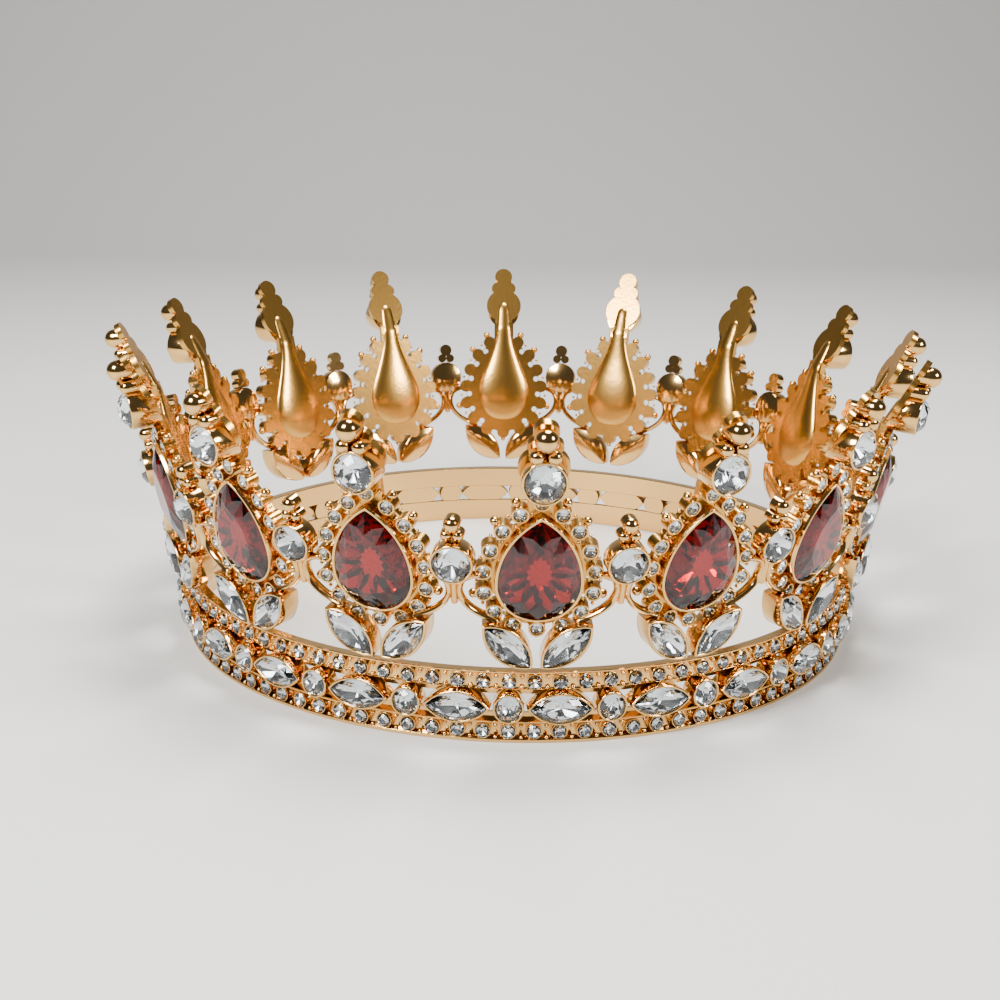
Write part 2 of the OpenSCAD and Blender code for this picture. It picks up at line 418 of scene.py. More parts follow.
def cup(
    outline: Outline, wall: float, height: float, floor: float, count: int, bulge: float = 0.0
) -> Skin:
    """A solid-floored cup with a rounded rim that holds a stone of this outline.

    Its rows are the outline grown by the wall's thickness, up the outside, over half a turn of
    the rim and down the inside. The underside is flat, or swells like a shallow dish.

    Args:
        outline: the stone's outline.
        wall: thickness of the wall.
        height: height of the rim.
        floor: height of the inside of the floor.
        count: points round the outline.
        bulge: how far the underside swells below nought.

    Returns:
        The closed skin.
    """
    soft, foot, tuck, corner = wall * 0.45, 0.25, 0.04, 0.05
    t = np.linspace(0, math.pi, LIP_STEPS)
    lip = [(1.0, wall / 2 + wall / 2 * math.cos(a), height - soft + soft * math.sin(a)) for a in t]
    dish = [(0.0, 0.0, -bulge), (0.45, 0.0, -bulge * 0.86), (0.8, 0.0, -bulge * 0.45)]
    dish += [(1.0, wall * 0.6, 0.0)]
    flat = [(0.0, 0.0, 0.0), (1.0, wall * 0.7, 0.0)]
    outside = (dish if bulge else flat) + [(1.0, wall, foot)]
    inside = [(1.0, -tuck, floor + corner), (0.0, 0.0, floor)]
    return lofted(outline, outside + lip + inside, count)


# ---------------------------------------------------------------------------------------------
# Cut stones
# ---------------------------------------------------------------------------------------------


class StoneSkin(Enum):
    """Which finish a facet has: the clear glass, or the foil on the stone's back."""

    GLASS = 0
    FOIL = 1


@dataclass(frozen=True)
class Cut:
    """The proportions of a cut stone.

    Attributes:
        sides: points round the girdle, an even number.
        crown: height of the table above the girdle.
        table: width of the table over that of the girdle.
        pavilion: depth of the culet below the girdle.
        girdle: thickness of the edge.
        culet: width of the flat at the bottom, over that of the girdle.
        keel: width, over the girdle's, at which the pavilion's upper and lower facets meet.
        keel_drop: depth at which they meet, over the pavilion's depth.
        star_up: height of the star facets' outer ends, over the crown's height.
        star_out: how far out they lie, over the place midway from table to girdle.
    """

    sides: int
    crown: float
    table: float
    pavilion: float
    girdle: float = 0.12
    culet: float = 0.06
    keel: float = 0.52
    keel_drop: float = 0.56
    star_up: float = 0.62
    star_out: float = 1.02


def level(flat: np.ndarray, scale: float, z: float) -> np.ndarray:
    """Points of a flat outline, scaled about the middle and lifted to height z."""
    return np.column_stack([flat * scale, np.full(len(flat), z)])


def faceted(points: list[np.ndarray], glass: list[np.ndarray], foil: list[np.ndarray]) -> Skin:
    """A stone's skin.

    Args:
        points: its levels of points.
        glass: the facets in front, by corner count.
        foil: the facets behind.

    Returns:
        The closed skin, with the finish of each facet.
    """
    slots = [np.full(len(f), StoneSkin.GLASS.value) for f in glass]
    slots += [np.full(len(f), StoneSkin.FOIL.value) for f in foil]
    return Skin(np.concatenate(points), glass + foil, slots)


def cut_stone(outline: Outline, cut: Cut, z: float = 0.0) -> Skin:
    """A foil-backed stone of this outline, its girdle at height z.

    The girdle has cut.sides points. Every second one faces a corner of the table, and the ones
    between face the middle of the table's edges, where the star facets end. The pavilion repeats
    that below, down to a small flat culet.

    Args:
        outline: the stone's outline.
        cut: its proportions.
        z: height of its girdle.

    Returns:
        The closed skin, glass in front and foil behind.
    """
    n = cut.sides
    edge = outline.ring(n, 0.0)
    even, odd = edge[0::2], edge[1::2]
    half_edge, star_w = cut.girdle / 2, (1 + cut.table) / 2 * cut.star_out
    points = [
        level(edge, 1.0, z + half_edge), level(edge, 1.0, z - half_edge),
        level(even, cut.table, z + cut.crown), level(odd, star_w, z + cut.crown * cut.star_up),
        level(odd, cut.keel, z - cut.pavilion * cut.keel_drop), level(even, cut.culet, z - cut.pavilion),
    ]
    upper, lower, table, star, keel, tip = np.cumsum([0] + [len(p) for p in points[:-1]])
    j = np.arange(n // 2)
    k, e, o = (j + 1) % len(j), 2 * j, 2 * j + 1
    e2 = (e + 2) % n
    a = np.arange(n)
    b = (a + 1) % n
    kites = np.stack([table + k, star + j, upper + e2, star + k], 1)
    stars = np.stack([table + j, star + j, table + k], 1)
    before = np.stack([upper + e, upper + o, star + j], 1)
    after = np.stack([upper + o, upper + e2, star + j], 1)
    band = np.stack([lower + a, lower + b, upper + b, upper + a], 1)
    mains = np.stack([tip + k, keel + k, lower + e2, keel + j], 1)
    below = np.stack([lower + o, lower + e, keel + j], 1)
    beyond = np.stack([lower + e2, lower + o, keel + j], 1)
    darts = np.stack([tip + k, keel + j, tip + j], 1)
    glass = [kites, stars, np.concatenate([before, after]), band, (table + j)[None]]
    foil = [mains, np.concatenate([below, beyond]), darts, (tip + j)[None, ::-1]]
    return faceted(points, glass, foil)


def small_stone(outline: Outline, cut: Cut, z: float = 0.0) -> Skin:
    """A small stone with one row of facets above its girdle and one below, for pieces in hundreds.

    Args:
        outline: the stone's outline.
        cut: its proportions.
        z: height of its girdle.

    Returns:
        The closed skin, glass in front and foil behind.
    """
    n = cut.sides
    edge = outline.ring(n, 0.0)
    middle = (edge + np.roll(edge, -1, axis=0)) / 2
    tip = np.array([[0.0, 0.0, z - cut.pavilion]])
    points = [level(edge, 1.0, z), level(middle, cut.table, z + cut.crown), tip]
    j = np.arange(n)
    k = (j + 1) % n
    rise = np.stack([j, k, n + j], 1)
    fall = np.stack([n + j, k, n + k], 1)
    back = np.stack([k, j, np.full(n, 2 * n)], 1)
    return faceted(points, [rise, fall, (n + j)[None]], [back])


# ---------------------------------------------------------------------------------------------
# Placements
# ---------------------------------------------------------------------------------------------


def turned(axis: str, degrees: float) -> np.ndarray:
    """A 4 x 4 turn about an axis."""
    return np.array(Matrix.Rotation(math.radians(degrees), 4, axis))


def moved(x: float, y: float, z: float = 0.0) -> np.ndarray:
    """A 4 x 4 shift."""
    return np.array(Matrix.Translation((x, y, z)))


@dataclass(frozen=True)
class Plate:
    """A flat place on the crown, where x runs across, y up and z outwards.

    Attributes:
        r: distance of its origin from the axis.
        z: height of its origin.
        lean: how far it leans out, in degrees.
        back: how far down the plate y = 0 is from the origin.
    """

    r: float
    z: float
    lean: float
    back: float = 0.0

    def at(self, turn: float) -> np.ndarray:
        """The plate's placement, turned about the crown's axis by so many degrees."""
        foot = turned("Z", turn) @ moved(0, -self.r, self.z)
        return foot @ turned("X", 90 + self.lean) @ moved(0, -self.back)


LEAF_RUN = DROP_RISE + LEAF_END
LEAF_END_R = PLATE_FOOT_R + LEAF_RUN * math.sin(math.radians(LEAF_LEAN))
LEAF_END_Z = BAND_TOP + LEAF_RUN * math.cos(math.radians(LEAF_LEAN))
DROP_RUN = CREST_START - LEAF_END
CREST_R = LEAF_END_R - DROP_IN + DROP_RUN * math.sin(math.radians(DROP_LEAN))
CREST_Z = LEAF_END_Z + DROP_RUN * math.cos(math.radians(DROP_LEAN))
LEAF_PLATE = Plate(LEAF_END_R, LEAF_END_Z, LEAF_LEAN, LEAF_END)
DROP_PLATE = Plate(LEAF_END_R - DROP_IN, LEAF_END_Z, DROP_LEAN, LEAF_END)
CREST_PLATE = Plate(CREST_R, CREST_Z, CREST_LEAN, CREST_START)
LINK_PLATE = Plate(LEAF_END_R - DROP_IN + LINK_OUT, LEAF_END_Z, DROP_LEAN, LEAF_END)

POINT_TURNS = np.arange(POINTS) * 360 / POINTS
LINK_TURNS = POINT_TURNS + 180 / POINTS
HERE = [np.eye(4)]


def spread(plate: Plate, turns: np.ndarray, spots: Sequence[np.ndarray]) -> np.ndarray:
    """The placement of every spot on the plate at every turn.

    Args:
        plate: the plate that the spots lie on.
        turns: degrees round the crown.
        spots: placements on the plate.

    Returns:
        (turns x spots, 4, 4) matrices.
    """
    return np.array([plate.at(t) @ s for t in turns for s in spots])


def on_band(indices: np.ndarray, r: float, z: float) -> np.ndarray:
    """Placements in line with rail stones, at radius r and height z, facing outwards."""
    return spread(Plate(r, z, 0.0), indices * 360 / RAIL_STONES, HERE)


# ---------------------------------------------------------------------------------------------
# Finishes
# ---------------------------------------------------------------------------------------------


def linear(hex_code: str) -> tuple[float, float, float, float]:
    """The linear colour of an sRGB hex code such as #D9B06A."""
    c = np.array([int(hex_code[i:i + 2], 16) / 255 for i in (1, 3, 5)])
    low, high = c / 12.92, ((c + 0.055) / 1.055) ** 2.4
    return (*np.where(c <= 0.04045, low, high).tolist(), 1.0)


def add_node(
    tree: bpy.types.NodeTree, kind: str, settings: dict | None = None, links: dict | None = None
) -> bpy.types.Node:
    """Adds a node with its settings and the sockets that feed it.

    Args:
        tree: the node tree.
        kind: the node's type.
        settings: input values by name, or attributes of the node where no input has that name.
        links: input name to the output socket that feeds it.

    Returns:
        The node.
    """
    node = tree.nodes.new(kind)
    for name, value in (settings or {}).items():
        if name in node.inputs:
            node.inputs[name].default_value = value
        else:
            setattr(node, name, value)
    for name, socket in (links or {}).items():
        tree.links.new(socket, node.inputs[name])
    return node


def fresh(name: str) -> tuple[bpy.types.Material, bpy.types.NodeTree]:
    """A new node material with an empty tree."""
    material = bpy.data.materials.new(name)
    material.use_nodes = True
    material.node_tree.nodes.clear()
    return material, material.node_tree


def finish_with(tree: bpy.types.NodeTree, settings: dict, links: dict | None = None) -> None:
    """Ends a tree with a Principled shader of these settings, fed by these links."""
    shader = add_node(tree, "ShaderNodeBsdfPrincipled", settings, links)
    add_node(tree, "ShaderNodeOutputMaterial", None, {"Surface": shader.outputs[0]})


@dataclass(frozen=True)
class PlatedGold:
    """Pale gold electroplate over a cast alloy.

    Plating mirrors the room softly. The cast skin beneath is slightly wavy, so the mirrored
    light breaks up. It doesn't tarnish, so it keeps one colour all over.

    Attributes:
        name: the finish.
        colour: colour of the plate.
        roughness: how soft its mirror is.
        wave: size of the cast waviness in mm.
        relief: its height in mm.
    """

    name: str
    colour: str
    roughness: float
    wave: float
    relief: float

    def material(self) -> bpy.types.Material:
        """The finish as a material."""
        material, tree = fresh(self.name)
        place = add_node(tree, "ShaderNodeTexCoord")
        grain = {"Scale": 1 / (self.wave * MM), "Detail": 2.0}
        noise = add_node(tree, "ShaderNodeTexNoise", grain, {"Vector": place.outputs["Object"]})
        depth = {"Strength": 1.0, "Distance": self.relief * MM}
        bump = add_node(tree, "ShaderNodeBump", depth, {"Height": noise.outputs["Fac"]})
        plate = {"Base Color": linear(self.colour), "Metallic": 1.0, "Roughness": self.roughness}
        finish_with(tree, plate, {"Normal": bump.outputs["Normal"]})
        return material


@dataclass(frozen=True)
class CutGlass:
    """Pressed and fire-polished glass of a cut stone's front: clear, smooth and hard-edged.

    Attributes:
        name: the finish.
        colour: colour that light takes on its way through.
        ior: its index of refraction.
        gloss: strength of what it mirrors, 0.5 for plain glass.
    """

    name: str
    colour: str
    ior: float = 1.52
    gloss: float = 0.5

    def material(self) -> bpy.types.Material:
        """The finish as a material."""
        material, tree = fresh(self.name)
        glass = {"Base Color": linear(self.colour), "Roughness": 0.0, "IOR": self.ior}
        finish_with(tree, glass | {"Transmission Weight": 1.0, "Specular IOR Level": self.gloss})
        return material


@dataclass(frozen=True)
class Foil:
    """The mirror foil behind a stone, seen through the glass as bright and dark facets."""

    name: str
    colour: str
    roughness: float = 0.06

    def material(self) -> bpy.types.Material:
        """The finish as a material."""
        material, tree = fresh(self.name)
        foil = {"Base Color": linear(self.colour), "Metallic": 1.0, "Roughness": self.roughness}
        finish_with(tree, foil)
        return material


@dataclass(frozen=True)
class MattPaint:
    """Matt emulsion on the studio floor and wall: even, with no highlight."""

    name: str
    colour: str
    roughness: float = 0.6

    def material(self) -> bpy.types.Material:
        """The finish as a material."""
        material, tree = fresh(self.name)
        finish_with(tree, {"Base Color": linear(self.colour), "Roughness": self.roughness})
        return material


def made(finish: PlatedGold | CutGlass | Foil) -> bpy.types.Material:
    """A field that holds the finish's material, which is made with the class that has it."""
    return field(default_factory=finish.material)


@dataclass
class Finishes:
    """Every finish on the crown, made once."""

    # Bright electroplate: a sharp mirror, a little broken by the casting beneath
    polished: bpy.types.Material = made(PlatedGold("polished_gold_plate", "#DDB06C", 0.12, 1.6, 0.02))
    # The same plate on the unpolished plates and backs: wider and duller highlights from its roughness,
    # and a darker colour that is painted shade
    satin_and_shade: bpy.types.Material = made(PlatedGold("satin_shaded_gold_plate", "#C9984C", 0.24, 0.9, 0.02))
    # Colourless machine-cut glass: hard-edged facets
    clear: bpy.types.Material = made(CutGlass("clear_cut_glass", "#FCFDFF"))
    # Deep red cut glass: less gloss keeps the lamps from washing its colour out
    red: bpy.types.Material = made(CutGlass("red_cut_glass", "#A8040A", gloss=0.2))
    # Silver foil: white and grey facets behind the clear glass
    silver: bpy.types.Material = made(Foil("silver_foil_back", "#E6EAEC"))
    # Red-lacquered foil: keeps the facets red behind the red glass
    ruby: bpy.types.Material = made(Foil("red_foil_back", "#B80C14"))


# ---------------------------------------------------------------------------------------------
# Making pieces
# ---------------------------------------------------------------------------------------------

# Edges sharper than this many degrees stay crisp on the metal
CRISP = 38.0


def make_piece(
    name: str, skin: Skin, materials: list[bpy.types.Material], smooth: float = 0.0
) -> bpy.types.Object:
    """Makes a piece from a skin and lets it ride on the crown.

    Args:
        name: the piece's name.
        skin: its surface, in millimetres.
        materials: the finishes that its faces' slots count through.
        smooth: shades edges blunter than so many degrees smooth.

    Returns:
        The object.
    """
    mesh = bpy.data.meshes.new(name)
    faces = [f for block in skin.faces for f in block.tolist()]
    mesh.from_pydata((skin.points * MM).tolist(), [], faces)
    for material in materials:
        mesh.materials.append(material)
    slots = np.concatenate(skin.slots).astype(np.int32)
    mesh.polygons.foreach_set("material_index", slots)
    if smooth:
        mesh.shade_smooth()
        mesh.set_sharp_from_angle(angle=math.radians(smooth))
    else:
        mesh.shade_flat()
    mesh.update()
    obj = bpy.data.objects.new(name, mesh)
    bpy.context.scene.collection.objects.link(obj)
    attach(obj, "root")
    LOG.info("%s: %d faces", name, len(faces))
    return obj


def gold_piece(
    name: str, skins: list[Skin], material: bpy.types.Material, nodes: tuple[str, ...] = ()
) -> None:
    """Makes a piece of plated metal, in place of some CAD nodes if it names any."""
    obj = make_piece(name, joined(skins), [material], CRISP)
    if nodes:
        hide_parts(*nodes)


def clear_piece(name: str, skin: Skin, finishes: Finishes, node: str) -> None:
    """Makes clear stones with a silver foil back, in place of their CAD node."""
    obj = make_piece(name, skin, [finishes.clear, finishes.silver])
    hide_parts(node)


def red_piece(name: str, skin: Skin, finishes: Finishes, nodes: tuple[str, ...]) -> None:
    """Makes red stones with a red foil back, in place of their CAD nodes."""
    obj = make_piece(name, skin, [finishes.red, finishes.ruby])
    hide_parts(*nodes)


# ---------------------------------------------------------------------------------------------
# Sub-assemblies
# ---------------------------------------------------------------------------------------------


@dataclass(frozen=True)
class Bead:
    """A kind of small ball that is cast on a plate.

    Attributes:
        d: its diameter.
        stretch: its height over its diameter.
        z: height of its middle above the plate's inner face.
        segments: steps round it.
        rows: levels from pole to pole.
    """

    d: float
    stretch: float
    z: float
    segments: int
    rows: int

    def on_points(self, spots: np.ndarray) -> Skin:
        """One ball at each (x, y) spot of every point's drop plate."""
        places = spread(DROP_PLATE, POINT_TURNS, [moved(x, y, self.z) for x, y in spots])
        return ball(self.d, self.stretch, self.segments, self.rows).copies(places)


@dataclass
class Rail:
    """One ring of the band: its section, collars and beads.

    Attributes:
        name: which rail.
        node: the CAD node that it stands for.
        low: height of its underside.
        height: its height.
        stone_z: height of its stones' middles.
        lip: how far its bottom lip reaches out.
        lip_h: height of that lip.
        channel: depth of the channel that its stones sit in.
        flange: height of the thin inner flange behind the cups, above (+) or below (-) the rail.
        bead_up: how far its beads lie above and below the stones' middles.
        bead_d: diameter of the beads.
        segments: steps round the ring.
        edge: round on its edges.
        flange_t: thickness of the inner flange.
        collar_wall: thickness of the collar round each stone.
        collar_proud: how far the collars stand out of the band's face.
        collar_floor: depth of their floors below that face.
        collar_grip: how much narrower than its stone a collar is.
        bead_sink: how deep the beads' middles lie in the band's face.
    """

    name: str
    node: str
    low: float
    height: float
    stone_z: float
    lip: float
    lip_h: float
    channel: float
    flange: float
    bead_up: float
    bead_d: float
    segments: int = 384
    edge: float = 0.12
    flange_t: float = 0.7
    collar_wall: float = 0.18
    collar_proud: float = 0.25
    collar_floor: float = 0.35
    collar_grip: float = 0.1
    bead_sink: float = 0.12

    def section(self) -> np.ndarray:
        """The ring's section as a loop of radii and heights, with small rounds on its edges.

        It runs out along the underside, up the face past lip and channel, in along the top, and
        down the inner wall, which the flange makes taller than the rail.
        """
        inner, face, foot = BAND_R - RAIL_T, BAND_R, BAND_R + self.lip
        low, top, e, g = self.low, self.low + self.height, self.edge, STONE_GAP
        z0 = self.stone_z - RAIL_STONE_D / 2 - g
        z1 = self.stone_z + RAIL_STONE_D / 2 + g
        seat, shelf, thin = face - self.channel, low + self.lip_h, inner + self.flange_t
        under, over = low + min(self.flange, 0.0), top + max(self.flange, 0.0)
        return np.array([
            (inner + e, under), (thin, under), (thin, low), (foot - e, low),
            (foot, low + e), (foot, shelf - e), (foot - e, shelf),
            (seat + g, z0), (seat, z0 + 2 * g), (seat, z1 - 2 * g), (seat + g, z1),
            (face - e, z1), (face, z1 + e), (face, top - e), (face - e, top),
            (thin, top), (thin, over), (inner + e, over), (inner, over - e), (inner, under + e),
        ])

    def build(self, finishes: Finishes) -> None:
        """Makes the ring, its collars and its beads."""
        ring = revolved(self.section(), self.segments, ring=True)
        gold_piece(f"{self.name}_ring", [ring], finishes.polished, (self.node,))
        indices = np.arange(RAIL_STONES)
        rim, floor = SEAT + self.collar_proud, SEAT - self.collar_floor
        collar = cup(Round(RAIL_STONE_D - self.collar_grip), self.collar_wall, rim, floor, count=20)
        collars = collar.copies(on_band(indices, BAND_R - SEAT, self.stone_z))
        gold_piece(f"{self.name}_collars", [collars], finishes.polished)
        bead = ball(self.bead_d, stretch=1.2, segments=12, rows=8)
        heights = [self.stone_z + self.bead_up, self.stone_z - self.bead_up]
        beads = [bead.copies(on_band(indices + 0.5, BAND_R - self.bead_sink, z)) for z in heights]
        gold_piece(f"{self.name}_beads", beads, finishes.polished)


@dataclass
class RailStones:
    """The small round stones of both rails.

    Attributes:
        d: their diameter.
        proud: how far their girdles stand out of the band's face.
        cut: how they are cut.
    """

    d: float = RAIL_STONE_D - 0.08
    proud: float = 0.28
    cut: Cut = Cut(sides=8, crown=0.42, table=0.6, pavilion=0.5)

    def build(self, finishes: Finishes) -> None:
        """Makes all of them as one piece."""
        stone = small_stone(Round(self.d), self.cut)
        indices = np.arange(RAIL_STONES)
        heights = (LOWER_STONE_Z, UPPER_STONE_Z)
        rows = [stone.copies(on_band(indices, BAND_R + self.proud, z)) for z in heights]
        clear_piece("rail_stones_cut", joined(rows), finishes, "rail_stones")


@dataclass
class CupRow:
    """The cups between the rails, leaf-shaped and round in turn, with their stones.

    Attributes:
        round_d: diameter of the round stones.
        wall: thickness of the cups' walls.
        height: height of the rims above the cups' backs.
        well: depth of the cups' insides.
        girdle_in: how far the stones' girdles lie below the rims.
        leaf_cut: how the leaf-shaped stones are cut.
        round_cut: how the round stones are cut.
    """

    round_d: float = 4.3
    wall: float = 0.42
    height: float = 3.5
    well: float = 1.9
    girdle_in: float = 0.15
    leaf_cut: Cut = Cut(sides=16, crown=0.95, table=0.6, pavilion=1.35)
    round_cut: Cut = Cut(sides=16, crown=0.8, table=0.55, pavilion=1.3)

    def build(self, finishes: Finishes) -> None:
        """Makes the cups and their stones."""
        leaves = np.arange(RAIL_STONES // 4) * 4 + 1
        leaf, dot = Navette(), Round(self.round_d)
        leaf_places = on_band(leaves, CUP_FLOOR_R, ROW_Z)
        dot_places = on_band(leaves + 2, CUP_FLOOR_R, ROW_Z)
        floor, girdle = self.height - self.well, self.height - self.girdle_in
        leaf_cups = cup(leaf, self.wall, self.height, floor, count=56).copies(leaf_places)
        dot_cups = cup(dot, self.wall, self.height, floor, count=36).copies(dot_places)
        gold_piece("band_leaf_cups", [leaf_cups], finishes.polished, ("band_navette_cups",))
        gold_piece("band_dot_cups", [dot_cups], finishes.polished, ("band_round_cups",))
        leaf_stones = cut_stone(leaf, self.leaf_cut, girdle).copies(leaf_places)
        dot_stones = cut_stone(dot, self.round_cut, girdle).copies(dot_places)
        clear_piece("band_stones_cut", joined([leaf_stones, dot_stones]), finishes, "band_stones")


@dataclass
class LeafPairs:
    """The two leaf-shaped cups under each point, with convex backs.

    Attributes:
        height: height of the rims above the plate's inner face.
        root: how far the cups reach in behind that face.
        wall: thickness of their walls.
        well: depth of their insides.
        bulge: how far their backs swell.
        girdle_in: how far the stones' girdles lie below the rims.
        cut: how the stones are cut.
    """

    height: float = 3.2
    root: float = 0.9
    wall: float = 0.45
    well: float = 1.9
    bulge: float = 0.5
    girdle_in: float = 0.15
    cut: Cut = Cut(sides=16, crown=0.95, table=0.6, pavilion=1.35)

    def spots(self) -> list[np.ndarray]:
        """Placements of the pair on the leaf plate, the second a mirror image by its turn."""
        right = moved(LEAF_X, LEAF_Y) @ turned("Z", LEAF_TURN)
        left = moved(-LEAF_X, LEAF_Y) @ turned("Z", -LEAF_TURN)
        return [right, left]

    def build(self, finishes: Finishes) -> None:
        """Makes the cups and their stones."""
        places = spread(LEAF_PLATE, POINT_TURNS, self.spots())
        sink, depth = moved(0, 0, -self.root), self.height + self.root
        shell = cup(Navette(), self.wall, depth, depth - self.well, count=56, bulge=self.bulge)
        gold_piece("leaf_cups_rounded", [shell.copies(places @ sink)], finishes.polished, ("leaf_cups",))
        stone = cut_stone(Navette(), self.cut, self.height - self.girdle_in)
        clear_piece("leaf_stones_cut", stone.copies(places), finishes, "leaf_stones")


@dataclass
class Drops:
    """The pear-shaped red stones in their bezels, the halos round them and the plates' backs.

    Heights are above the plate's inner face, and reaches are outwards from the stone's edge.

    Attributes:
        rim: height of the bezel's rim.
        foot: height that the bezel stands from.
        foot_reach: how far its foot reaches.
        lip_reach: how far the middle of its rim lies.
        lip_half: half the rim's thickness.
        lip_round: height of the rim's round.
        girdle_in: how far the stone's girdle lies below the rim.
        cut: how the red stones are cut.
        halo_foot: height that the halo cups stand from.
        halo_rim: height of their rims above halo_foot.
        halo_wall: thickness of their walls.
        halo_floor: height of their floors above halo_foot.
        halo_girdle_in: how far their stones' girdles lie below the rims.
        halo_cut: how the halo's stones are cut.
        outer: the balls on the halo's outer edge.
        outer_at: the halo cups that have one, counted from the lowest, anticlockwise.
        outer_out: how far out from the cups' middles they lie.
        grain: the grains between the halo cups.
        grain_out: how far out from the cups' middles they lie.
        dot: the grains between the bezel and the upper halo cups.
        dots_at: the gaps that have one, counted as the cups are.
        dot_in: how far in from the cups' middles they lie.
        toe: the bead below the halo.
        toe_y: its place on the plate.
        spine: (height up the plate, half width, depth) of the spine behind the plate.
    """

    rim: float = 3.1
    foot: float = 0.5
    foot_reach: float = 0.62
    lip_reach: float = 0.26
    lip_half: float = 0.24
    lip_round: float = 0.1
    girdle_in: float = 0.05
    cut: Cut = Cut(24, 1.5, 0.6, 1.85, girdle=0.2, keel=0.46, keel_drop=0.42)
    halo_foot: float = 0.4
    halo_rim: float = 1.95
    halo_wall: float = 0.3
    halo_floor: float = 0.7
    halo_girdle_in: float = 0.15
    halo_cut: Cut = Cut(sides=8, crown=0.42, table=0.6, pavilion=0.75)
    outer: Bead = Bead(1.5, 1.1, 1.1, 18, 10)
    outer_at: tuple[int, ...] = (3, 6, 7, 9, 10, 13)
    outer_out: float = 1.75
    grain: Bead = Bead(0.62, 1.3, 1.3, 10, 7)
    grain_out: float = 0.9
    dot: Bead = Bead(0.5, 1.3, 1.0, 10, 7)
    dots_at: tuple[int, ...] = (5, 6, 7, 8, 9, 10)
    dot_in: float = 1.45
    toe: Bead = Bead(1.0, 1.6, 1.2, 14, 9)
    toe_y: float = -13.0
    spine: tuple[tuple[float, float, float], ...] = (
        (-8.7, 0.0, 0.0), (-8.2, 2.3, 0.7), (-7.0, 4.1, 1.1), (-4.5, 5.6, 1.5), (-2.0, 6.0, 1.6),
        (1.0, 5.4, 1.5), (4.0, 4.2, 1.25), (7.0, 3.0, 1.0), (10.0, 2.1, 0.85), (13.0, 1.7, 0.75),
        (16.0, 1.45, 0.65), (18.5, 1.1, 0.55), (19.6, 0.0, 0.0),
    )

    def build(self, finishes: Finishes) -> None:
        """Makes the bezels, the halo cups, all their stones, the beads and the backs."""
        at = spread(DROP_PLATE, POINT_TURNS, HERE)
        gold_piece("drop_bezels", [self.bezel().copies(at)], finishes.polished)
        stone = cut_stone(Pear(), self.cut, self.rim - self.girdle_in)
        nodes = tuple(f"drop_stone_{i:02d}" for i in range(1, POINTS + 1))
        red_piece("drop_stones_cut", stone.copies(at), finishes, nodes)
        self.build_halo(finishes)
        self.build_beads(finishes)
        self.build_backs(finishes)

    def bezel(self) -> Skin:
        """The collar round the red stone: a flared wall whose rim is a half turn of an ellipse."""
        t = np.linspace(0, math.pi, LIP_STEPS)
        reach = self.lip_reach + self.lip_half * np.cos(t)
        lip = [(1.0, r, z) for r, z in zip(reach, self.rim + self.lip_round * np.sin(t))]
        outside = (1.0, self.foot_reach, self.foot)
        inside = (1.0, self.lip_reach - self.lip_half, self.foot)
        return lofted(Pear(), [outside, *lip, inside], 96, ring=True)

    def build_halo(self, finishes: Finishes) -> None:
        """The small cups round the bezel and their stones."""
        spots = [moved(x, y, self.halo_foot) for x, y in Pear().ring(HALO_COUNT, HALO_GAP)]
        places = spread(DROP_PLATE, POINT_TURNS, spots)
        cups = cup(Round(HALO_D), self.halo_wall, self.halo_rim, self.halo_floor, count=24)
        gold_piece("halo_cups", [cups.copies(places)], finishes.polished)
        gem = small_stone(Round(HALO_D), self.halo_cut, self.halo_rim - self.halo_girdle_in)
        clear_piece("halo_stones_cut", gem.copies(places), finishes, "halo_stones")

    def build_beads(self, finishes: Finishes) -> None:
        """The balls on the halo's outer edge and the grains between its cups."""
        rim = Pear().ring(HALO_COUNT, HALO_GAP + self.outer_out)[list(self.outer_at)]
        between = Pear().ring(2 * HALO_COUNT, HALO_GAP + self.grain_out)[1::2]
        inner = Pear().ring(2 * HALO_COUNT, HALO_GAP - self.dot_in)[1::2]
        pieces = [
            self.outer.on_points(rim),
            self.grain.on_points(between[1:-1]),
            self.dot.on_points(inner[list(self.dots_at)]),
            self.toe.on_points(np.array([[0.0, self.toe_y]])),
        ]
        gold_piece("halo_beads", pieces, finishes.polished)

    def build_backs(self, finishes: Finishes) -> None:
        """The raised spine on the inside of each plate: a narrow ridge that swells into a drop.

        At each height its section is the ellipse (half width cos a, depth sin a). It follows the
        plate's inner face, which bends where the crest starts.
        """
        sides, lift = 28, 0.25
        y, half, deep = smooth_path(self.spine, 5).T
        half, deep = np.maximum(half, 0), np.maximum(deep, 0)
        half[[0, -1]] = deep[[0, -1]] = 0
        bend = math.radians(CREST_LEAN - DROP_LEAN)
        past = np.maximum(y - CREST_START, 0)
        up, out = y - past * (1 - math.cos(bend)), past * math.sin(bend) + lift
        a = np.arange(sides) * TAU / sides
        rows = [half[:, None] * np.cos(a), up[:, None] + 0 * a, out[:, None] - deep[:, None] * np.sin(a)]
        spine = grid_skin(np.stack(rows, -1))
        places = spread(DROP_PLATE, POINT_TURNS, HERE)
        # The satin gold's darker colour is painted shade on the spines
        gold_piece("plate_spines", [spine.copies(places)], finishes.satin_and_shade)


